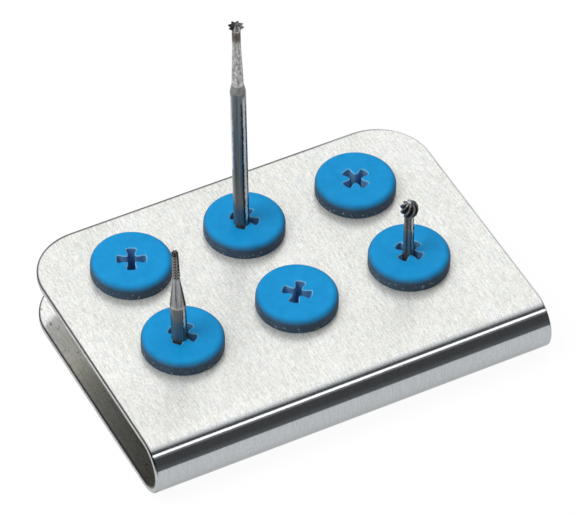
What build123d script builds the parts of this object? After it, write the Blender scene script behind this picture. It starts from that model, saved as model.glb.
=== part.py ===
from build123d import *
from math import cos, sin, radians
import os

# Dental bur block: one folded stainless sheet, six soft inserts with cross sockets and three rotary burs.
# Millimetres. X runs along the fold, Y from the fold at the front to the open back, Z up from the table.
# The origin is the centre of the footprint on the table.

# Folded plate
plate_width = 64.4
plate_depth = 46.5
stand_height = 9.4
sheet = 1.0
corner_radius = 8.5
edge_break = 0.12
lower_leaf_setback = 0.3

# Holes for the inserts, in two rows and three columns
hole_diameter = 9.0
column_pitch = 18.6
column_offset = -0.24
row_pitch = 16.8
back_row_setback = 10.95

# Soft insert
head_overhang = 1.6
head_wall = 1.4
head_edge_round = 1.0
groove_fit = 0.05
lip_overhang = 0.8
lip_thickness = 0.7
lip_taper = 1.3
tail_top_diameter = 8.2
tail_end_diameter = 7.2
tail_end_chamfer = 0.5
tail_gap = 1.0
tail_floor = 1.0

# Socket: a cross with flared arms above a fine round bore
cross_diameter = 4.4
arm_width = 1.05
arm_flare_width = 1.75
arm_flare_start = 1.15
flap_tip_round = 0.22
lobe_round = 0.3
socket_rim_break = 0.12
wide_socket_depth = 4.6

# Burs
wide_shank_diameter = 2.35
fine_shank_diameter = 1.6
shank_fit = 0.05
foot_chamfer = 0.2

tall_bur_length = 44.0
tapered_bur_length = 22.0
ball_bur_length = 19.0

# Tall bur: toothed wheel head on a brazed stub, then a slim neck that flares to the shank
wheel_diameter = 2.4
wheel_above = 0.5
wheel_below = 0.55
wheel_teeth = 8
wheel_gullet_ratio = 0.58
wheel_face_ratio = 0.3
wheel_stub_diameter = 1.28
wheel_stub_end = 4.0
tall_neck_end = 11.6
tall_neck_end_diameter = 1.78
tall_cone_end = 13.0

# Tapered bur: cross-cut fissure head on a cone
fissure_tip_diameter = 1.0
fissure_root_diameter = 1.25
fissure_length = 5.1
fissure_blades = 6
fissure_rings = 9
fissure_ring_depth = 0.15
tapered_neck_diameter = 1.05
tapered_neck_length = 0.35
tapered_cone_end = 10.7
latch_groove_height = 1.9
latch_groove_width = 0.9
latch_groove_diameter = 1.6
latch_flat_offset = 0.75

# Ball bur
ball_diameter = 2.85
ball_blades = 8
ball_gullet_ratio = 0.6
ball_root_angle = -60
ball_tip_angle = 76
ball_blade_spans = 6
ball_twist = 75.0
ball_neck_diameter = 1.45
ball_neck_end = 5.0

# Blade section: share of the pitch from a cutting edge to the gullet behind it, and the land between them
gullet_lead = 0.7
land_lead = 0.3
land_ratio = 0.93
fissure_gullet_ratio = 0.62
fissure_twist = 28.0

# What follows from the sizes above
fold_radius = stand_height / 2
front_y = -plate_depth / 2
back_y = plate_depth / 2
back_row_y = back_y - back_row_setback
row_y = {"back": back_row_y, "front": back_row_y - row_pitch}
column_x = {
    "left": column_offset - column_pitch,
    "middle": column_offset,
    "right": column_offset + column_pitch,
}
head_height = head_wall + head_edge_round
insert_top_z = stand_height + head_height
tail_end_z = sheet + tail_gap
fine_bore_floor_z = tail_end_z + tail_floor
ledge_z = insert_top_z - wide_socket_depth

# Turn of each socket's cross about the vertical, in degrees
cross_turn = {
    "back_left": 64.7,
    "back_middle": 45.7,
    "back_right": 19.1,
    "front_left": 38.0,
    "front_middle": 48.2,
    "front_right": 29.2,
}

# Where each bur's foot stands in its socket, off the socket's centre, and how far the bur leans
# in X and in Y for each unit of height.
bur_seat = {
    "back_middle": ((-0.56, -0.44), (-0.020, 0.023)),
    "front_left": ((-0.45, -0.34), (-0.035, 0.019)),
    "front_right": ((-0.05, -0.15), (-0.016, 0.011)),
}


def make_plate():
    """Side profile of the folded sheet run along the fold, with round back corners and six holes."""
    bend_y = front_y + fold_radius
    inner_radius = fold_radius - sheet
    lower_back_y = back_y - lower_leaf_setback
    outline = [
        Line((lower_back_y, 0), (bend_y, 0)),
        ThreePointArc((bend_y, 0), (front_y, fold_radius), (bend_y, stand_height)),
        Line((bend_y, stand_height), (back_y, stand_height)),
        Line((back_y, stand_height), (back_y, stand_height - sheet)),
        Line((back_y, stand_height - sheet), (bend_y, stand_height - sheet)),
        ThreePointArc((bend_y, stand_height - sheet), (bend_y - inner_radius, fold_radius), (bend_y, sheet)),
        Line((bend_y, sheet), (lower_back_y, sheet)),
        Line((lower_back_y, sheet), (lower_back_y, 0)),
    ]
    profile = Plane.YZ * make_face(Curve() + outline)
    plate = extrude(profile, amount=plate_width / 2, both=True)
    plate = fillet(plate.edges().filter_by(Axis.Z), corner_radius)
    faces = plate.faces()
    corners = faces.filter_by(lambda face: face.geom_type == GeomType.CYLINDER and face.radius == corner_radius)
    cut_faces = faces.filter_by(Axis.X) + faces.filter_by(Axis.Y) + corners
    cut_edges = ShapeList(set(cut_faces.edges())).filter_by(Axis.Z, reverse=True)
    plate = chamfer(cut_edges, edge_break)
    for y in row_y.values():
        for x in column_x.values():
            plate -= Pos(x, y, stand_height) * Cylinder(hole_diameter / 2, 3 * sheet)
    return plate


def make_insert_body():
    """Turned form of the insert, with the plate's top surface at height zero."""
    head_radius = hole_diameter / 2 + head_overhang
    groove_radius = hole_diameter / 2 - groove_fit
    groove_bottom = -sheet - groove_fit
    lip_radius = hole_diameter / 2 + lip_overhang
    lip_bottom = groove_bottom - lip_thickness
    tail_top = lip_bottom - lip_taper
    tail_end = tail_end_z - stand_height
    top_radius = head_radius - head_edge_round
    outline = [
        Line((0, tail_end), (tail_end_diameter / 2 - tail_end_chamfer, tail_end)),
        Line(
            (tail_end_diameter / 2 - tail_end_chamfer, tail_end),
            (tail_end_diameter / 2, tail_end + tail_end_chamfer),
        ),
        Line((tail_end_diameter / 2, tail_end + tail_end_chamfer), (tail_top_diameter / 2, tail_top)),
        Line((tail_top_diameter / 2, tail_top), (lip_radius, lip_bottom)),
        Line((lip_radius, lip_bottom), (lip_radius, groove_bottom)),
        Line((lip_radius, groove_bottom), (groove_radius, groove_bottom)),
        Line((groove_radius, groove_bottom), (groove_radius, 0)),
        Line((groove_radius, 0), (head_radius, 0)),
        Line((head_radius, 0), (head_radius, head_wall)),
        RadiusArc((head_radius, head_wall), (top_radius, head_height), -head_edge_round),
        Line((top_radius, head_height), (0, head_height)),
        Line((0, head_height), (0, tail_end)),
    ]
    profile = Plane.XZ * make_face(Curve() + outline)
    return revolve(profile, Axis.Z)


def make_cross():
    """Outline of the socket: two crossing arms that flare to the rim circle."""
    rim = cross_diameter / 2
    arm = Polyline(
        (0, -arm_width / 2),
        (arm_flare_start, -arm_width / 2),
        (rim, -arm_flare_width / 2),
        (rim, arm_flare_width / 2),
        (arm_flare_start, arm_width / 2),
        (0, arm_width / 2),
        close=True,
    )
    arms = Sketch() + [Rot(0, 0, quarter * 90) * make_face(arm) for quarter in range(4)]
    cross = arms & Circle(rim)
    flap_tips = cross.vertices().filter_by(lambda corner: corner.center().length < arm_width)
    cross = fillet(flap_tips, flap_tip_round)
    lobe_corners = cross.vertices().filter_by(lambda corner: corner.center().length > rim - arm_width / 2)
    return fillet(lobe_corners, lobe_round)


def seat_plane(place, foot_z):
    """Plane on which a bur's foot stands, square to the bur's own axis."""
    row, column = place.split("_")
    offset, lean = bur_seat[place]
    return Plane(
        origin=(column_x[column] + offset[0], row_y[row] + offset[1], foot_z),
        z_dir=(lean[0], lean[1], 1),
    )


def make_insert(place, shank_diameter, foot_z):
    """One insert; where a bur stands in it, its shank has spread the cross open."""
    row, column = place.split("_")
    centre = Pos(column_x[column], row_y[row], 0)
    insert = centre * Pos(0, 0, stand_height) * make_insert_body()
    cross = centre * Pos(0, 0, ledge_z) * Rot(0, 0, cross_turn[place]) * make_cross()
    insert -= extrude(cross, amount=2 * wide_socket_depth)
    socket_rim = insert.faces().sort_by(Axis.Z)[-1].inner_wires()[0]
    insert = chamfer(socket_rim.edges(), socket_rim_break)
    bore_length = insert_top_z - fine_bore_floor_z
    bore = Cylinder(
        fine_shank_diameter / 2 + shank_fit,
        bore_length,
        align=(Align.CENTER, Align.CENTER, Align.MIN),
    )
    if shank_diameter is None:
        return insert - centre * Pos(0, 0, fine_bore_floor_z) * bore
    seat = seat_plane(place, foot_z)
    spread = Cylinder(
        shank_diameter / 2 + shank_fit,
        2 * bore_length,
        align=(Align.CENTER, Align.CENTER, Align.MIN),
    )
    if foot_z > fine_bore_floor_z:
        insert -= centre * Pos(0, 0, fine_bore_floor_z) * bore
    return insert - seat * spread


def make_turned(points):
    """Solid turned about the bur's axis from (radius, height) points that begin and end on the axis."""
    return revolve(Plane.XZ * make_face(Polyline(*points, close=True)), Axis.Z)


def blade_section(cutting_radius, gullet_radius, blades, turn):
    """Section of a fluted head: each blade has a sloping land behind its edge, a back and a steep face."""
    pitch = 360 / blades
    corners = []
    for blade in range(blades):
        for radius, lead in (
            (cutting_radius, 0),
            (land_ratio * cutting_radius, land_lead),
            (gullet_radius, gullet_lead),
        ):
            angle = radians(turn + (blade + lead) * pitch)
            corners.append((radius * cos(angle), radius * sin(angle)))
    return make_face(Polyline(*corners, close=True))


def make_blades(levels, blades, twist):
    """Head lofted through blade sections, each given by its height, cutting radius and gullet radius."""
    bottom = levels[0][0]
    rise = levels[-1][0] - bottom
    sections = []
    for height, cutting_radius, gullet_radius in levels:
        turn = twist * (height - bottom) / rise
        sections.append(Pos(0, 0, height) * blade_section(cutting_radius, gullet_radius, blades, turn))
    return loft(sections, ruled=True)


def make_tall_bur():
    """Toothed wheel with its brazed stub, and the long shank with a slim flaring neck."""
    tip = tall_bur_length
    rim = tip - wheel_above
    stub_end = tip - wheel_stub_end
    stub_radius = wheel_stub_diameter / 2
    wheel_radius = wheel_diameter / 2
    wheel = make_blades(
        [
            (rim - wheel_below, stub_radius, 0.9 * stub_radius),
            (rim, wheel_radius, wheel_gullet_ratio * wheel_radius),
            (tip, wheel_face_ratio * wheel_radius, wheel_gullet_ratio * wheel_face_ratio * wheel_radius),
        ],
        wheel_teeth,
        0,
    )
    stub = Pos(0, 0, stub_end) * Cylinder(
        stub_radius, rim - stub_end, align=(Align.CENTER, Align.CENTER, Align.MIN)
    )
    wide = wide_shank_diameter / 2
    shank = make_turned(
        [
            (0, 0),
            (wide - foot_chamfer, 0),
            (wide, foot_chamfer),
            (wide, tip - tall_cone_end),
            (tall_neck_end_diameter / 2, tip - tall_neck_end),
            (stub_radius, stub_end),
            (0, stub_end),
        ]
    )
    return wheel + stub, shank


def make_tapered_bur():
    """Cross-cut fissure head on a cone, with the latch groove and flat at the foot."""
    tip = tapered_bur_length
    root = tip - fissure_length
    neck_end = root - tapered_neck_length
    tip_radius = fissure_tip_diameter / 2
    root_radius = fissure_root_diameter / 2
    ring_pitch = fissure_length / fissure_rings
    levels = []
    for ring in range(fissure_rings):
        low = root + ring * ring_pitch
        crest = root_radius + (tip_radius - root_radius) * ring / fissure_rings
        for share, cut in ((0.0, fissure_ring_depth), (0.3, 0.0), (0.85, 0.0)):
            levels.append((low + share * ring_pitch, crest - cut, fissure_gullet_ratio * (crest - cut)))
    end_radius = tip_radius - fissure_ring_depth
    levels.append((tip, end_radius, fissure_gullet_ratio * end_radius))
    neck = Pos(0, 0, neck_end) * Cylinder(
        tapered_neck_diameter / 2, root - neck_end, align=(Align.CENTER, Align.CENTER, Align.MIN)
    )
    head = make_blades(levels, fissure_blades, fissure_twist) + neck
    wide = wide_shank_diameter / 2
    shank = make_turned(
        [
            (0, 0),
            (wide - foot_chamfer, 0),
            (wide, foot_chamfer),
            (wide, latch_groove_height),
            (latch_groove_diameter / 2, latch_groove_height),
            (latch_groove_diameter / 2, latch_groove_height + latch_groove_width),
            (wide, latch_groove_height + latch_groove_width),
            (wide, tip - tapered_cone_end),
            (tapered_neck_diameter / 2, neck_end),
            (0, neck_end),
        ]
    )
    flat_height = latch_groove_height + latch_groove_width
    shank -= Pos(latch_flat_offset + wide, 0, 0) * Box(
        2 * wide, 4 * wide, flat_height, align=(Align.CENTER, Align.CENTER, Align.MIN)
    )
    return head, shank


def make_ball_bur():
    """Ball whose spiral blades run from the neck to the tip, and the plain fine shank."""
    tip = ball_bur_length
    radius = ball_diameter / 2
    centre = tip - radius
    neck_end = tip - ball_neck_end
    levels = []
    for span in range(ball_blade_spans + 1):
        latitude = radians(ball_root_angle + (ball_tip_angle - ball_root_angle) * span / ball_blade_spans)
        cutting_radius = radius * cos(latitude)
        levels.append((centre + radius * sin(latitude), cutting_radius, ball_gullet_ratio * cutting_radius))
    neck = Pos(0, 0, neck_end) * Cylinder(
        ball_neck_diameter / 2, centre - neck_end, align=(Align.CENTER, Align.CENTER, Align.MIN)
    )
    fine = fine_shank_diameter / 2
    shank = make_turned(
        [
            (0, 0),
            (fine - foot_chamfer, 0),
            (fine, foot_chamfer),
            (fine, neck_end - (fine - ball_neck_diameter / 2)),
            (ball_neck_diameter / 2, neck_end),
            (0, neck_end),
        ]
    )
    return make_blades(levels, ball_blades, ball_twist) + neck, shank


burs = {
    "back_middle": ("tall_bur", make_tall_bur, wide_shank_diameter, ledge_z),
    "front_left": ("tapered_bur", make_tapered_bur, wide_shank_diameter, ledge_z),
    "front_right": ("ball_bur", make_ball_bur, fine_shank_diameter, fine_bore_floor_z),
}

os.makedirs("parts", exist_ok=True)
export_step(make_plate(), "parts/folded_plate.step")
for row in row_y:
    for column in column_x:
        place = f"{row}_{column}"
        name, make_bur, shank_diameter, foot_z = burs.get(place, (None, None, None, None))
        export_step(make_insert(place, shank_diameter, foot_z), f"parts/insert_{place}.step")
        if name:
            seat = seat_plane(place, foot_z)
            head, shank = make_bur()
            export_step(seat * head, f"parts/{name}_head.step")
            export_step(seat * shank, f"parts/{name}_shank.step")
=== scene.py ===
from math import cos, pi, radians, sin

import bmesh
import bpy
from mathutils import Matrix, Vector


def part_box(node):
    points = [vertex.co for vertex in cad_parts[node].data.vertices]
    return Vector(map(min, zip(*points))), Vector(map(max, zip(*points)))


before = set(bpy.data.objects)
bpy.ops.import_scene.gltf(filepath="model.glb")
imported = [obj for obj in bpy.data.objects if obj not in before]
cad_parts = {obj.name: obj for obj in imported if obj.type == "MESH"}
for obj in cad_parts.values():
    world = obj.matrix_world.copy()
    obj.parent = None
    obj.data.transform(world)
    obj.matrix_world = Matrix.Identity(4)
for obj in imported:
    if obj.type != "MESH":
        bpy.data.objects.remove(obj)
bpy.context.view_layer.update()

# Looks of the dental bur block: a brushed stainless stand, blue silicone inserts and three rotary burs.
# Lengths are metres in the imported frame, and one written in millimetres is multiplied by MM.
MM = 0.001
PLATE_LOW, PLATE_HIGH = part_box("folded_plate")
STAND_HEIGHT = PLATE_HIGH.z
FRONT_Y = PLATE_LOW.y
FOLD_RADIUS = STAND_HEIGHT / 2
BETWEEN_LEAVES = FOLD_RADIUS - 0.7 * MM
CORNER_RADIUS = 8.5 * MM
LOWER_LEAF_SETBACK = 0.3 * MM


def centre_of(node):
    low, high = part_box(node)
    return (Vector(low) + Vector(high)) / 2


# The six inserts stand on a grid, so that one socket's pattern serves them all
GRID_CENTRE = centre_of("insert_back_middle")
COLUMN_PITCH = centre_of("insert_back_right").x - GRID_CENTRE.x
ROW_PITCH = GRID_CENTRE.y - centre_of("insert_front_middle").y
SOCKET_RADIUS = 2.45 * MM
SOCKET_SURROUND = 2.6 * MM

# Camera, fitted to the stand's edges and the insert rims in the photograph
IMAGE_WIDTH = 575
VIEW_AZIMUTH = radians(-28.34)
VIEW_ELEVATION = radians(45.87)
VIEW_ROLL = radians(1.21)
VIEW_DISTANCE = 690.8 * MM
VIEW_TARGET = Vector((2.85 * MM, 4.40 * MM, STAND_HEIGHT))
FOCAL_PIXELS = 4690.4
SENSOR_WIDTH = 36.0


def make_camera():
    back = Vector(
        (
            sin(VIEW_AZIMUTH) * cos(VIEW_ELEVATION),
            -cos(VIEW_AZIMUTH) * cos(VIEW_ELEVATION),
            sin(VIEW_ELEVATION),
        )
    )
    level = Vector((cos(VIEW_AZIMUTH), sin(VIEW_AZIMUTH), 0))
    right = cos(VIEW_ROLL) * level + sin(VIEW_ROLL) * back.cross(level)
    turn = Matrix((right, back.cross(right), back)).transposed().to_4x4()
    data = bpy.data.cameras.new("camera")
    data.sensor_width = SENSOR_WIDTH
    data.lens = FOCAL_PIXELS * SENSOR_WIDTH / IMAGE_WIDTH
    data.clip_start = 0.01
    data.clip_end = 20
    camera = bpy.data.objects.new("camera", data)
    camera.matrix_world = Matrix.Translation(VIEW_TARGET + VIEW_DISTANCE * back) @ turn
    bpy.context.scene.collection.objects.link(camera)
    bpy.context.scene.camera = camera


# Nodes


def fill(tree, node, sockets):
    """Sets or links a node's inputs, named with underscores for spaces, and returns its outputs."""
    for name, value in sockets.items():
        socket = node.inputs[name.replace("_", " ")]
        if isinstance(value, bpy.types.NodeSocket):
            tree.links.new(value, socket)
        elif socket.type == "RGBA":
            socket.default_value = (*value, 1)
        else:
            socket.default_value = value
    return node.outputs


def put(tree, kind, **sockets):
    """Adds a node and returns its outputs."""
    return fill(tree, tree.nodes.new(kind), sockets)


def put_group(tree, group, **sockets):
    """Adds a node group and returns its outputs."""
    node = tree.nodes.new("ShaderNodeGroup")
    node.node_tree = group
    return fill(tree, node, sockets)


def new_material(name):
    """A material with its node tree and its Principled BSDF."""
    material = bpy.data.materials.new(name)
    material.use_nodes = True
    tree = material.node_tree
    return material, tree, tree.nodes["Principled BSDF"]


def new_group(name, inputs, outputs):
    """A node group with named sockets of kind Float, Vector or Color; also its inputs and end node."""
    group = bpy.data.node_groups.new(name, "ShaderNodeTree")
    for direction, sockets in (("INPUT", inputs), ("OUTPUT", outputs)):
        for socket, kind in sockets.items():
            group.interface.new_socket(name=socket, in_out=direction, socket_type="NodeSocket" + kind)
    given = group.nodes.new("NodeGroupInput").outputs
    return group, given, group.nodes.new("NodeGroupOutput")


def calc(tree, operation, *values):
    """One Math node on values or sockets."""
    node = tree.nodes.new("ShaderNodeMath")
    node.operation = operation
    for socket, value in zip(node.inputs, values):
        if isinstance(value, bpy.types.NodeSocket):
            tree.links.new(value, socket)
        else:
            socket.default_value = value
    return node.outputs[0]


def spread(tree, value, low, high, to_low, to_high):
    """Maps low..high of a value onto to_low..to_high, and keeps it there beyond them."""
    return put(
        tree,
        "ShaderNodeMapRange",
        Value=value,
        From_Min=low,
        From_Max=high,
        To_Min=to_low,
        To_Max=to_high,
    )["Result"]


def shifted(tree, value, by):
    """A number or a socket's value, moved by a constant."""
    return calc(tree, "ADD", value, by) if isinstance(value, bpy.types.NodeSocket) else value + by


def between(tree, value, low, high, soft):
    """1 between two values and 0 outside them, with soft ends."""
    starts = spread(tree, value, shifted(tree, low, -soft), shifted(tree, low, soft), 0.0, 1.0)
    ends = spread(tree, value, shifted(tree, high, -soft), shifted(tree, high, soft), 1.0, 0.0)
    return calc(tree, "MULTIPLY", starts, ends)


def length_of(tree, first, second):
    squares = calc(tree, "ADD", calc(tree, "POWER", first, 2), calc(tree, "POWER", second, 2))
    return calc(tree, "SQRT", squares)


def mix(tree, mode, factor, first, second):
    """Mixes two colours by a factor."""
    node = tree.nodes.new("ShaderNodeMix")
    node.data_type = "RGBA"
    node.blend_type = mode
    factor_socket, first_socket, second_socket = (node.inputs[index] for index in (0, 6, 7))
    for socket, value in ((factor_socket, factor), (first_socket, first), (second_socket, second)):
        if isinstance(value, bpy.types.NodeSocket):
            tree.links.new(value, socket)
        elif socket is factor_socket:
            socket.default_value = value
        else:
            socket.default_value = (*value, 1)
    return node.outputs[2]


def blend(tree, factor, first, second):
    return mix(tree, "MIX", factor, first, second)


def ramp(tree, value, stops):
    """Colours that change in straight lines between stops, each a length in millimetres and a colour."""
    low, high = stops[0][0], stops[-1][0]
    node = tree.nodes.new("ShaderNodeValToRGB")
    tree.links.new(spread(tree, value, low * MM, high * MM, 0.0, 1.0), node.inputs["Fac"])
    marks = node.color_ramp.elements
    for index, (length, colour) in enumerate(stops):
        place = (length - low) / (high - low)
        mark = marks[index] if index < 2 else marks.new(place)
        mark.position = place
        mark.color = (*colour, 1)
    return node.outputs["Color"]


def split_axes(tree, vector):
    parts = put(tree, "ShaderNodeSeparateXYZ", Vector=vector)
    return parts["X"], parts["Y"], parts["Z"]


def place_axes(tree):
    """Object coordinates as three values."""
    return split_axes(tree, put(tree, "ShaderNodeTexCoord")["Object"])


def facing_up(tree):
    """How far the surface faces up, from -1 to 1."""
    return split_axes(tree, put(tree, "ShaderNodeNewGeometry")["Normal"])[2]


# Effects that several materials share


def make_grain_group():
    """Noise stretched over the piece, and a mask that is 0 at a noise of Low and 1 at High."""
    group, given, end = new_group(
        "grain",
        {"Stretch": "Vector", "Detail": "Float", "Roughness": "Float", "Low": "Float", "High": "Float"},
        {"Noise": "Float", "Mask": "Float"},
    )
    coordinates = put(group, "ShaderNodeTexCoord")
    place = put(group, "ShaderNodeMapping", Vector=coordinates["Object"], Scale=given["Stretch"])
    noise = put(
        group,
        "ShaderNodeTexNoise",
        Vector=place["Vector"],
        Scale=1.0,
        Detail=given["Detail"],
        Roughness=given["Roughness"],
    )["Fac"]
    mask = spread(group, noise, given["Low"], given["High"], 0.0, 1.0)
    fill(group, end, {"Noise": noise, "Mask": mask})
    return group


def make_stain_group():
    """Multiplies a tone by a colour that goes from Clear to Stained with a mask."""
    group, given, end = new_group(
        "stain",
        {"Tone": "Color", "Mask": "Float", "Clear": "Color", "Stained": "Color"},
        {"Tone": "Color"},
    )
    colour = blend(group, given["Mask"], given["Clear"], given["Stained"])
    fill(group, end, {"Tone": mix(group, "MULTIPLY", 1.0, given["Tone"], colour)})
    return group


def make_bur_place_group():
    """Angle about a leaning bur, in degrees from the bur's front, and distance off its axis."""
    group, given, end = new_group(
        "bur_place",
        {"Foot": "Vector", "Lean": "Vector"},
        {"Angle": "Float", "Across": "Float"},
    )
    x, y, z = place_axes(group)
    foot_x, foot_y, foot_z = split_axes(group, given["Foot"])
    lean_x, lean_y, _ = split_axes(group, given["Lean"])
    rise = calc(group, "SUBTRACT", z, foot_z)
    axis_x = calc(group, "MULTIPLY_ADD", rise, lean_x, foot_x)
    axis_y = calc(group, "MULTIPLY_ADD", rise, lean_y, foot_y)
    off_x = calc(group, "SUBTRACT", x, axis_x)
    off_y = calc(group, "SUBTRACT", y, axis_y)
    ahead = calc(
        group, "MULTIPLY_ADD", off_x, sin(BUR_FRONT), calc(group, "MULTIPLY", off_y, -cos(BUR_FRONT))
    )
    aside = calc(
        group, "MULTIPLY_ADD", off_x, cos(BUR_FRONT), calc(group, "MULTIPLY", off_y, sin(BUR_FRONT))
    )
    angle = calc(group, "MULTIPLY", calc(group, "ARCTAN2", aside, ahead), 180 / pi)
    fill(group, end, {"Angle": angle, "Across": length_of(group, ahead, aside)})
    return group


def make_line_group():
    """A painted highlight or painted shade: a line of another tone along a bur, between two angles and
    two heights.
    """
    group, given, end = new_group(
        "line_along_bur",
        {
            "Tone": "Color",
            "Line Tone": "Color",
            "Angle": "Float",
            "From Angle": "Float",
            "To Angle": "Float",
            "Height": "Float",
            "From Height": "Float",
            "To Height": "Float",
        },
        {"Tone": "Color", "Mask": "Float"},
    )
    mask = calc(
        group,
        "MULTIPLY",
        between(group, given["Angle"], given["From Angle"], given["To Angle"], LINE_SOFT_DEGREES),
        between(group, given["Height"], given["From Height"], given["To Height"], LINE_SOFT_END),
    )
    fill(group, end, {"Tone": blend(group, mask, given["Tone"], given["Line Tone"]), "Mask": mask})
    return group


def make_gullet_group():
    """Painted shade in the gullets of a head, which are also dull: nearer than Near to its centre, up to
    the lands at Far.
    """
    group, given, end = new_group(
        "gullets",
        {
            "Tone": "Color",
            "Metal": "Float",
            "Across": "Float",
            "Height": "Float",
            "Centre": "Float",
            "Near": "Float",
            "Far": "Float",
        },
        {"Tone": "Color", "Metal": "Float"},
    )
    away = length_of(group, given["Across"], calc(group, "SUBTRACT", given["Height"], given["Centre"]))
    foot = calc(group, "SUBTRACT", given["Centre"], given["Far"])
    top = calc(group, "SUBTRACT", given["Centre"], given["Near"])
    cut = calc(
        group,
        "MULTIPLY",
        spread(group, away, given["Near"], given["Far"], 1.0, 0.0),
        spread(group, given["Height"], foot, top, 0.0, 1.0),
    )
    dull = calc(group, "SUBTRACT", 1.0, calc(group, "MULTIPLY", cut, 0.8))
    fill(
        group,
        end,
        {
            "Tone": blend(group, cut, given["Tone"], GULLET_SHADE),
            "Metal": calc(group, "MULTIPLY", given["Metal"], dull),
        },
    )
    return group


def grain(tree, stretch, detail, roughness, low=0.35, high=0.65):
    """Noise and mask of a grain; stretch holds how fine it is along X, Y and Z, per metre."""
    outputs = put_group(
        tree, GRAIN, Stretch=stretch, Detail=detail, Roughness=roughness, Low=low, High=high
    )
    return outputs["Noise"], outputs["Mask"]


def stain(tree, tone, mask, clear, stained):
    return put_group(tree, STAIN, Tone=tone, Mask=mask, Clear=clear, Stained=stained)["Tone"]


# Stainless sheet

WHITE = (1, 1, 1)
SATIN_WARM = (0.915, 0.905, 0.85)
SATIN_COOL = (0.89, 0.90, 0.875)
BURNISHED = (0.70, 0.73, 0.74)
# Painted shade between the leaves, darker deeper towards the fold at the front, by distance from the
# middle of the stand in millimetres
INSIDE_SHADE = [
    (-23.0, (0.22, 0.215, 0.19)),
    (-8.0, (0.46, 0.45, 0.41)),
    (5.0, (0.74, 0.73, 0.68)),
    (20.0, (0.92, 0.92, 0.90)),
]
PITS = (0.4, 0.38, 0.34)
STREAK_STAIN = (0.66, 0.67, 0.68)
GRAIN_STAIN = (0.62, 0.62, 0.61)
CLOUD_STAIN = (0.92, 0.92, 0.90)
BURNISHED_WEAR = (0.97, 0.97, 0.97)
RIM_SHADE = (0.07, 0.072, 0.075)
# The painted shade along the rim is full nearer to the outline than the first and gone beyond the second
RIM_FULL = 0.17 * MM
RIM_GONE = 0.33 * MM
RIM_AT_LEFT = 0.95
RIM_AT_RIGHT = 0.5
RIM_WIDER_AT_BACK = 0.62
# Distances behind the front at which the burnished fold ends and the satin leaf begins
FOLD_END = 2.5 * MM
SATIN_START = 3.7 * MM
RAGGED = 0.5 * MM
BURNISHED_ROUGHNESS = 0.09
SATIN_ROUGHNESS = 0.34
INSIDE_ROUGHNESS_ADDED = 0.06
BURNISHED_METAL = 1.0
SATIN_METAL = 0.48
INSIDE_METAL_ADDED = -0.3
BURNISHED_WEAR_SHARE = 0.4


def edge_distance(tree, x, y, z):
    """How far a point of either leaf lies inside the leaf's outline, in metres."""
    upper = calc(tree, "GREATER_THAN", z, FOLD_RADIUS)
    setback = calc(tree, "MULTIPLY_ADD", upper, -LOWER_LEAF_SETBACK, LOWER_LEAF_SETBACK)
    back_y = calc(tree, "SUBTRACT", PLATE_HIGH.y, setback)
    from_side = calc(tree, "SUBTRACT", calc(tree, "ABSOLUTE", x), PLATE_HIGH.x - CORNER_RADIUS)
    from_back = calc(tree, "ADD", calc(tree, "SUBTRACT", y, back_y), CORNER_RADIUS)
    past_side = calc(tree, "MAXIMUM", from_side, 0)
    past_back = calc(tree, "MAXIMUM", from_back, 0)
    round_corner = length_of(tree, past_side, past_back)
    straight = calc(tree, "MINIMUM", calc(tree, "MAXIMUM", from_side, from_back), 0)
    return calc(tree, "SUBTRACT", CORNER_RADIUS, calc(tree, "ADD", round_corner, straight))


def inside_mask(tree, y, z):
    """1 on the faces between the two leaves and inside the fold, 0 on the outer faces."""
    ahead = calc(tree, "MAXIMUM", calc(tree, "SUBTRACT", FRONT_Y + FOLD_RADIUS, y), 0)
    from_middle = length_of(tree, ahead, calc(tree, "SUBTRACT", z, FOLD_RADIUS))
    return calc(tree, "LESS_THAN", from_middle, BETWEEN_LEAVES)


def rim_shade_mask(tree, x, y, z):
    """Painted shade: a dark line just inside the sheet's outline, widest at the back and faint on the
    right.
    """
    cut_face = spread(tree, calc(tree, "ABSOLUTE", facing_up(tree)), 0.25, 0.4, 1.0, 0.0)
    near_back = spread(tree, y, 20.0 * MM, 22.5 * MM, 1.0, RIM_WIDER_AT_BACK)
    strength = spread(tree, x, 15.0 * MM, 30.0 * MM, RIM_AT_LEFT, RIM_AT_RIGHT)
    distance = calc(tree, "MULTIPLY", edge_distance(tree, x, y, z), near_back)
    rim = calc(tree, "MULTIPLY", spread(tree, distance, RIM_FULL, RIM_GONE, 1.0, 0.0), strength)
    return calc(tree, "MULTIPLY", rim, calc(tree, "SUBTRACT", 1.0, cut_face))


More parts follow.
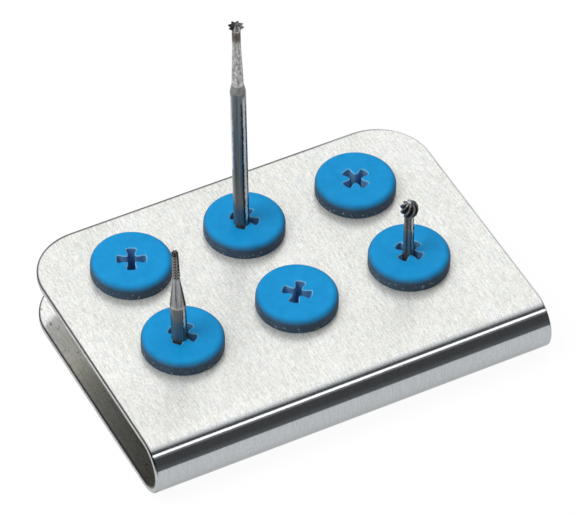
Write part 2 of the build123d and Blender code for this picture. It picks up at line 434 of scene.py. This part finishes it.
def make_brushed_steel():
    """Stainless sheet brushed front to back: satin leaves, a burnished fold and painted shade on the
    inside, with a painted dark line along the outline.
    """
    material, tree, shader = new_material("brushed_stainless")
    x, y, z = place_axes(tree)
    streaks, streak_mask = grain(tree, (5200, 420, 420), 3.0, 0.65, 0.42, 0.72)
    _, fine_mask = grain(tree, (6500, 2300, 2300), 2.0, 0.7, 0.4, 0.8)
    _, cloud_mask = grain(tree, (150, 60, 60), 4.0, 0.6)
    _, warmth_mask = grain(tree, (1500, 500, 500), 2.0, 0.6)
    _, pit_mask = grain(tree, (1500, 900, 900), 2.0, 0.5, 0.66, 0.72)
    inside = inside_mask(tree, y, z)
    outside = calc(tree, "SUBTRACT", 1.0, inside)
    ragged_y = calc(tree, "ADD", y, spread(tree, streaks, 0.3, 0.7, -RAGGED, RAGGED))
    satin = spread(tree, ragged_y, FRONT_Y + FOLD_END, FRONT_Y + SATIN_START, 0.0, 1.0)
    satin = calc(tree, "MULTIPLY", satin, outside)

    tone = blend(tree, satin, BURNISHED, blend(tree, warmth_mask, SATIN_WARM, SATIN_COOL))
    # Painted shade: the faces between the leaves darken towards the fold, with pits on them
    tone = blend(tree, inside, tone, stain(tree, ramp(tree, y, INSIDE_SHADE), pit_mask, WHITE, PITS))
    wear = blend(tree, calc(tree, "MULTIPLY", streak_mask, 0.8), WHITE, STREAK_STAIN)
    wear = stain(tree, wear, fine_mask, WHITE, GRAIN_STAIN)
    wear = stain(tree, wear, cloud_mask, WHITE, CLOUD_STAIN)
    worn = spread(tree, calc(tree, "MAXIMUM", satin, inside), 0.0, 1.0, BURNISHED_WEAR_SHARE, 1.0)
    tone = stain(tree, tone, worn, BURNISHED_WEAR, wear)
    # Painted shade along the sheet's outline
    tone = blend(tree, rim_shade_mask(tree, x, y, z), tone, RIM_SHADE)

    metal = spread(tree, satin, 0.0, 1.0, BURNISHED_METAL, SATIN_METAL)
    metal = calc(tree, "MULTIPLY_ADD", inside, INSIDE_METAL_ADDED, metal)
    rough = spread(tree, satin, 0.0, 1.0, BURNISHED_ROUGHNESS, SATIN_ROUGHNESS)
    rough = calc(tree, "MULTIPLY_ADD", inside, INSIDE_ROUGHNESS_ADDED, rough)
    bump = put(tree, "ShaderNodeBump", Height=streaks, Strength=0.3, Distance=0.03 * MM)
    fill(
        tree,
        shader,
        {"Base Color": tone, "Metallic": metal, "Roughness": rough, "Normal": bump["Normal"]},
    )
    return material


# Silicone

TOP_DEEP = (0.002, 0.247, 0.55)
TOP_BRIGHT = (0.008, 0.305, 0.66)
SHADED_WALL_DEEP = (0.041, 0.078, 0.128)
SHADED_WALL_BRIGHT = (0.078, 0.128, 0.184)
HOLLOW_DEEP = (0.13, 0.32, 0.58)
HOLLOW_BRIGHT = (0.19, 0.41, 0.65)
DUST_TONE = (0.46, 0.49, 0.51)
SOCKET_RIM_HIGHLIGHT = (0.22, 0.55, 0.80)


def from_nearest(tree, place, centre, pitch):
    """Distance along one axis from the nearest insert's centre."""
    return calc(tree, "WRAP", calc(tree, "SUBTRACT", place, centre), pitch / 2, -pitch / 2)


def make_silicone():
    """Satin blue silicone with painted shade and light: its sides are painted dark, with dust specks low
    on them, its sockets paler, and a painted highlight along their rims.
    """
    material, tree, shader = new_material("blue_silicone")
    x, y, z = place_axes(tree)
    _, cloud = grain(tree, (420, 420, 420), 6.0, 0.78, 0.3, 0.7)
    _, specks = grain(tree, (2700, 2700, 2700), 1.0, 0.5, 0.65, 0.71)
    pores, _ = grain(tree, (2400, 2400, 2400), 2.0, 0.5)
    across = from_nearest(tree, x, GRID_CENTRE.x, COLUMN_PITCH)
    along = from_nearest(tree, y, GRID_CENTRE.y, ROW_PITCH)
    off_centre = length_of(tree, across, along)
    in_socket = spread(tree, off_centre, SOCKET_RADIUS, SOCKET_SURROUND, 1.0, 0.0)
    up = facing_up(tree)

    top = blend(tree, cloud, TOP_DEEP, TOP_BRIGHT)
    # Painted shade: faces that don't look up take a dark copy of the blue
    wall = blend(tree, cloud, SHADED_WALL_DEEP, SHADED_WALL_BRIGHT)
    low_wall = between(tree, z, STAND_HEIGHT, STAND_HEIGHT + 1.1 * MM, 0.3 * MM)
    wall = blend(tree, calc(tree, "MULTIPLY", specks, low_wall), wall, DUST_TONE)
    # Painted light and shade: the socket walls take a paler copy of the blue than the shaded sides
    wall = blend(tree, in_socket, wall, blend(tree, cloud, HOLLOW_DEEP, HOLLOW_BRIGHT))
    # Painted shade: the blue of the top turns into the dark sides as the surface turns away from up
    tone = blend(tree, spread(tree, up, 0.1, 0.93, 1.0, 0.0), top, wall)
    # Painted highlight: a pale blue line along the socket rims, where they slope
    slope = calc(tree, "ABSOLUTE", calc(tree, "SUBTRACT", up, 0.7))
    rim = calc(tree, "MULTIPLY", in_socket, spread(tree, slope, 0.1, 0.25, 0.8, 0.0))
    tone = blend(tree, rim, tone, SOCKET_RIM_HIGHLIGHT)

    bump = put(tree, "ShaderNodeBump", Height=pores, Strength=0.12, Distance=0.05 * MM)
    fill(
        tree,
        shader,
        {"Base Color": tone, "Roughness": 0.55, "Specular IOR Level": 0.15, "Normal": bump["Normal"]},
    )
    return material


# Bur steel

# Azimuth of the front of the burs, from which the lines along them are counted
BUR_FRONT = radians(-28)
LINE_SOFT_DEGREES = 2.5
LINE_SOFT_END = 0.5 * MM
LINE_WANDER_DEGREES = 5
GULLET_SHADE = (0.02, 0.02, 0.022)
DRAWN_CLEAR = (1.15, 1.15, 1.15)
DRAWN_STAIN = (0.72, 0.73, 0.74)
RING_CLEAR = (1.04, 1.04, 1.04)
RING_STAIN = (0.94, 0.94, 0.94)
FROST_BRIGHT = (1.3, 1.3, 1.3)
FROST_DARK = (0.42, 0.42, 0.41)
FROST_START = 0.2
GLINT = (0.97, 0.97, 0.97)
GLINT_ROUGHNESS = 0.5


def make_bur_steel(name, axis, tones, finishes, lines=(), frost=None, gullets=None):
    """Ground bur steel that changes with height; all heights and distances here are in millimetres.

    Axis holds the foot of the bur and its lean in X and Y for each unit of height.
    Tones and finishes are stops by height; a finish is a roughness and how metallic it is.
    Lines along the bur are painted highlights and painted shade, each two angles in degrees, two heights
    and a tone.
    Frost is a height above which the steel is blasted and speckled.
    Gullets, painted dark as shade, are the height of a point on the axis and the two distances from it of
    the gullets and lands.
    """
    material, tree, shader = new_material(name)
    _, _, z = place_axes(tree)
    foot, lean = axis
    place = put_group(tree, BUR_PLACE, Foot=[length * MM for length in foot], Lean=(*lean, 0))
    _, drawn = grain(tree, (2600, 2600, 55), 3.0, 0.6)
    rings, ring_mask = grain(tree, (60, 60, 7000), 2.0, 0.5, 0.3, 0.7)
    speckles, speckle_mask = grain(tree, (3000, 3000, 1700), 3.0, 0.7)

    tone = stain(tree, ramp(tree, z, tones), drawn, DRAWN_CLEAR, DRAWN_STAIN)
    tone = stain(tree, tone, rings, RING_CLEAR, RING_STAIN)
    stops = [(height, (roughness, metallic, 0)) for height, (roughness, metallic) in finishes]
    finish = put(tree, "ShaderNodeSeparateColor", Color=ramp(tree, z, stops))
    rough = calc(tree, "MULTIPLY", finish["Red"], spread(tree, ring_mask, 0.0, 1.0, 0.85, 1.15))
    metals = {metallic for _, (_, metallic) in finishes}
    metal = finish["Green"] if len(metals) > 1 else metals.pop()
    if frost:
        frosted = spread(tree, z, frost * MM, (frost + FROST_START) * MM, 0.0, 1.0)
        tone = stain(tree, tone, frosted, WHITE, blend(tree, speckle_mask, FROST_BRIGHT, FROST_DARK))
    # Painted shade in the gullets
    if gullets:
        centre, near, far = gullets
        cut = put_group(
            tree,
            GULLETS,
            Tone=tone,
            Metal=metal,
            Across=place["Across"],
            Height=z,
            Centre=centre * MM,
            Near=near * MM,
            Far=far * MM,
        )
        tone, metal = cut["Tone"], cut["Metal"]
    wander = spread(tree, speckles, 0.3, 0.7, -LINE_WANDER_DEGREES, LINE_WANDER_DEGREES)
    angle = calc(tree, "ADD", place["Angle"], wander)
    for angles, heights, line_tone in lines:
        line = put_group(
            tree,
            LINE,
            Tone=tone,
            Line_Tone=line_tone,
            Angle=angle,
            From_Angle=angles[0],
            To_Angle=angles[1],
            Height=z,
            From_Height=heights[0] * MM,
            To_Height=heights[1] * MM,
        )
        tone = line["Tone"]
        if line_tone == GLINT:
            rough = calc(tree, "MAXIMUM", rough, calc(tree, "MULTIPLY", line["Mask"], GLINT_ROUGHNESS))
    fill(tree, shader, {"Base Color": tone, "Roughness": rough, "Metallic": metal})
    return material


def tip_of(node):
    """Height of the top of a head in millimetres."""
    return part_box(node)[1].z / MM


SHADE = (0.015, 0.018, 0.02)
SHANK_TONE = (0.235, 0.255, 0.26)
SHANK_FINISH = (0.22, 0.55)
NECK_TONE = (0.84, 0.83, 0.785)
NECK_FINISH = (0.45, 0.5)
FLARE_TONE = (0.30, 0.30, 0.29)
# Painted shade on the teeth of the toothed wheel
TEETH_SHADE = (0.01, 0.01, 0.01)


def make_tall_bur_materials():
    """Polished shank with a dull flare, frosted neck and stub, and the toothed wheel; painted highlights
    and shade run along the shank, and painted shade darkens most of the wheel's teeth.
    """
    tip = tip_of("tall_bur_head")
    axis = ((-0.80, 11.86, 7.2), (-0.020, 0.023))
    shank = make_bur_steel(
        "tall_bur_steel",
        axis,
        [
            (7.0, (0.15, 0.165, 0.175)),
            (tip - 13.1, SHANK_TONE),
            (tip - 12.95, FLARE_TONE),
            (tip - 11.65, FLARE_TONE),
            (tip - 11.55, NECK_TONE),
            (tip - 4.0, NECK_TONE),
        ],
        [
            (7.0, SHANK_FINISH),
            (tip - 11.65, SHANK_FINISH),
            (tip - 11.55, NECK_FINISH),
            (tip, NECK_FINISH),
        ],
        lines=[
            ((19, 33), (12.0, 36.5), SHADE),
            ((35, 55), (13.0, 37.5), GLINT),
            ((58, 86), (10.0, 36.0), SHADE),
            ((-90, -56), (23.0, 37.6), GLINT),
        ],
        frost=tip - 11.6,
    )
    head = make_bur_steel(
        "tall_bur_carbide",
        axis,
        [
            (tip - 4.1, NECK_TONE),
            (tip - 3.3, (0.60, 0.58, 0.55)),
            (tip - 2.8, (0.30, 0.24, 0.20)),
            (tip - 1.4, (0.24, 0.19, 0.16)),
            (tip - 1.15, (0.66, 0.66, 0.65)),
            (tip, (0.62, 0.62, 0.61)),
        ],
        [(tip - 4.1, (0.4, 0.6)), (tip, (0.34, 0.75))],
        lines=[
            # Painted shade: the wheel's teeth dark on all sides but the front right
            ((-185, -105), (tip - 1.0, tip + 1), TEETH_SHADE),
            ((-105, -20), (tip - 1.0, tip + 1), (0.05, 0.05, 0.05)),
            ((130, 185), (tip - 1.0, tip + 1), TEETH_SHADE),
        ],
        frost=tip - 4.2,
        gullets=(tip - 0.6, 0.55, 0.85),
    )
    return shank, head


def make_tapered_bur_materials():
    """Polished shank with a painted highlight as a pale ring under the cone, painted highlights and shade
    along it, and the cross-cut head with its dark end and painted shade along its right edge.
    """
    tip = tip_of("tapered_bur_head")
    axis = ((-19.29, -4.84, 7.2), (-0.035, 0.019))
    # Painted highlight: a pale ring where the cone's edge catches the light
    edge_highlight_tone = (0.62, 0.58, 0.57)
    cone_finish = (0.16, 1.0)
    shank = make_bur_steel(
        "tapered_bur_steel",
        axis,
        [
            (7.0, (0.15, 0.165, 0.17)),
            (tip - 10.95, (0.19, 0.215, 0.22)),
            (tip - 10.8, edge_highlight_tone),
            (tip - 10.6, edge_highlight_tone),
            (tip - 10.45, (0.37, 0.375, 0.38)),
            (tip - 5.0, (0.44, 0.445, 0.45)),
        ],
        [(7.0, SHANK_FINISH), (tip - 10.8, SHANK_FINISH), (tip - 10.6, cone_finish), (tip, cone_finish)],
        lines=[
            ((30, 37), (12.6, tip - 11.3), SHADE),
            ((40, 57), (tip - 14.6, tip - 10.9), GLINT),
            ((56, 90), (12.2, tip - 6.0), SHADE),
            ((-90, -58), (14.0, tip - 6.0), SHADE),
            # Painted shade: a dark streak down the front of the cone
            ((-16, -6), (tip - 9.5, tip - 5.4), (0.10, 0.105, 0.11)),
        ],
    )
    head = make_bur_steel(
        "tapered_bur_carbide",
        axis,
        [
            (tip - 5.2, (0.36, 0.36, 0.35)),
            (tip - 0.9, (0.36, 0.35, 0.34)),
            (tip - 0.6, (0.10, 0.09, 0.09)),
            (tip, (0.09, 0.08, 0.08)),
        ],
        [(tip - 5.2, (0.25, 1.0)), (tip, (0.25, 1.0))],
        # Painted shade along the head's right edge
        lines=[((58, 90), (tip - 5.4, tip - 0.3), (0.06, 0.06, 0.06))],
    )
    return shank, head


def make_ball_bur_materials():
    """Polished fine shank and neck with painted highlights and shade along them, and the ball with bright
    lands and gullets painted dark as shade.
    """
    tip = tip_of("ball_bur_head")
    axis = ((18.31, -4.65, 3.0), (-0.016, 0.011))
    neck_tone = (0.17, 0.175, 0.18)
    # Painted highlights and shade along the shank and neck: a dark line on the front left, and a weaker
    # painted highlight below the glint
    lines = [
        ((-30, -14), (12.5, tip - 2.7), (0.06, 0.065, 0.07)),
        ((20, 28), (12.5, tip - 2.7), SHADE),
        ((31, 50), (tip - 6.0, tip - 2.7), GLINT),
        ((33, 48), (12.8, tip - 6.0), (0.42, 0.50, 0.56)),
        ((56, 90), (12.2, tip - 2.7), SHADE),
    ]
    shank = make_bur_steel(
        "ball_bur_steel",
        axis,
        [(7.0, (0.19, 0.20, 0.20)), (tip - 2.0, (0.23, 0.24, 0.245))],
        [(7.0, SHANK_FINISH), (tip, SHANK_FINISH)],
        lines=lines,
    )
    head = make_bur_steel(
        "ball_bur_carbide",
        axis,
        [
            (tip - 5.1, neck_tone),
            (tip - 2.6, neck_tone),
            (tip - 2.4, (0.34, 0.34, 0.34)),
            (tip, (0.40, 0.40, 0.40)),
        ],
        [(tip - 5.1, SHANK_FINISH), (tip - 2.9, (0.25, 0.8)), (tip, (0.22, 0.8))],
        lines=lines,
        gullets=(tip - 1.42, 1.27, 1.41),
    )
    return shank, head


# Table, room and lamps

TABLE_TONE = (0.42, 0.43, 0.45)
TABLE_GLOW = 1.1
# How much of the glow, over the lit table, the camera and glossy surfaces see
GLOW_FOR_CAMERA = 0.86
GLOW_FOR_GLOSS = 0.42
ROOM_LOW_FRONT = (0.13, 0.14, 0.15)
ROOM_HIGH_FRONT = (0.065, 0.067, 0.07)
ROOM_BACK = (0.22, 0.23, 0.25)


def end_in_mix(tree, factor, first, second, output):
    """Sends a mix of two shaders to the output of a material or world."""
    mixed = tree.nodes.new("ShaderNodeMixShader")
    for socket, value in zip(mixed.inputs, (factor, first, second)):
        tree.links.new(value, socket)
    put(tree, output, Surface=mixed.outputs[0])


def make_floor():
    """Pale table that the camera and glossy surfaces see as white, with the object's shadow on it."""
    work = bmesh.new()
    bmesh.ops.create_grid(work, x_segments=1, y_segments=1, size=1.5)
    mesh = bpy.data.meshes.new("floor")
    work.to_mesh(mesh)
    work.free()
    floor = bpy.data.objects.new("floor", mesh)
    bpy.context.scene.collection.objects.link(floor)
    material = bpy.data.materials.new("pale_table")
    material.use_nodes = True
    tree = material.node_tree
    tree.nodes.clear()
    lit = put(tree, "ShaderNodeBsdfDiffuse", Color=TABLE_TONE)
    glow = put(tree, "ShaderNodeEmission", Color=WHITE, Strength=TABLE_GLOW)
    path = put(tree, "ShaderNodeLightPath")
    to_camera = calc(tree, "MULTIPLY", path["Is Camera Ray"], GLOW_FOR_CAMERA)
    to_gloss = calc(tree, "MULTIPLY", path["Is Glossy Ray"], GLOW_FOR_GLOSS)
    end_in_mix(tree, calc(tree, "ADD", to_camera, to_gloss), lit[0], glow[0], "ShaderNodeOutputMaterial")
    mesh.materials.append(material)


def make_world():
    """Dim room whose front is darkest, white where the camera looks past the table."""
    world = bpy.data.worlds.new("studio")
    bpy.context.scene.world = world
    world.use_nodes = True
    tree = world.node_tree
    tree.nodes.clear()
    _, forward, height = split_axes(tree, put(tree, "ShaderNodeTexCoord")["Generated"])
    front = blend(tree, spread(tree, height, 0.0, 0.35, 0.0, 1.0), ROOM_LOW_FRONT, ROOM_HIGH_FRONT)
    tone = blend(tree, spread(tree, forward, -0.45, 0.35, 0.0, 1.0), front, ROOM_BACK)
    room = put(tree, "ShaderNodeBackground", Color=tone, Strength=1.0)
    white = put(tree, "ShaderNodeBackground", Color=WHITE, Strength=1.0)
    path = put(tree, "ShaderNodeLightPath")
    end_in_mix(tree, path["Is Camera Ray"], room[0], white[0], "ShaderNodeOutputWorld")


BOX_HEIGHT = 0.8
# Softboxes that look straight down, each with its centre in X and Y, width, depth and brightness
SOFTBOXES = [
    ("back", 0.075, 0.66, 1.65, 0.70, 1.25),
    ("overhead", 0.25, 0.13, 1.1, 0.36, 1.27),
    ("overhead_fade", 0.25, -0.11, 1.1, 0.12, 0.8),
    ("overhead_edge", 0.25, -0.22, 1.1, 0.10, 0.35),
    ("strip_fade", 0.1, -0.70, 1.6, 0.14, 0.13),
    ("strip", 0.1, -0.53, 1.6, 0.155, 1.75),
]


def make_softbox(name, centre, aim, width, depth, brightness, mirrored=True):
    """Rectangular studio lamp, as bright at any size, that the camera never sees and steel may mirror."""
    data = bpy.data.lights.new(name, "AREA")
    data.shape = "RECTANGLE"
    data.size = width
    data.size_y = depth
    data.energy = brightness * pi * width * depth
    lamp = bpy.data.objects.new(name, data)
    turn = (Vector(aim) - Vector(centre)).to_track_quat("-Z", "Y").to_matrix().to_4x4()
    lamp.matrix_world = Matrix.Translation(centre) @ turn
    lamp.visible_camera = False
    lamp.visible_glossy = mirrored
    bpy.context.scene.collection.objects.link(lamp)


make_camera()
make_world()
make_floor()
make_softbox("key", (-0.56, 0.03, BOX_HEIGHT), (-0.1, 0.02, 0), 0.48, 0.56, 6.4, mirrored=False)
for name, x, y, width, depth, brightness in SOFTBOXES:
    make_softbox(name, (x, y, BOX_HEIGHT), (x, y, 0), width, depth, brightness)

GRAIN = make_grain_group()
STAIN = make_stain_group()
BUR_PLACE = make_bur_place_group()
LINE = make_line_group()
GULLETS = make_gullet_group()
looks = {"folded_plate": make_brushed_steel()}
looks["tall_bur_shank"], looks["tall_bur_head"] = make_tall_bur_materials()
looks["tapered_bur_shank"], looks["tapered_bur_head"] = make_tapered_bur_materials()
looks["ball_bur_shank"], looks["ball_bur_head"] = make_ball_bur_materials()
silicone = make_silicone()
for node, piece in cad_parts.items():
    piece.data.materials.clear()
    piece.data.materials.append(looks.get(node, silicone))

bpy.context.scene.view_settings.view_transform = "Standard"
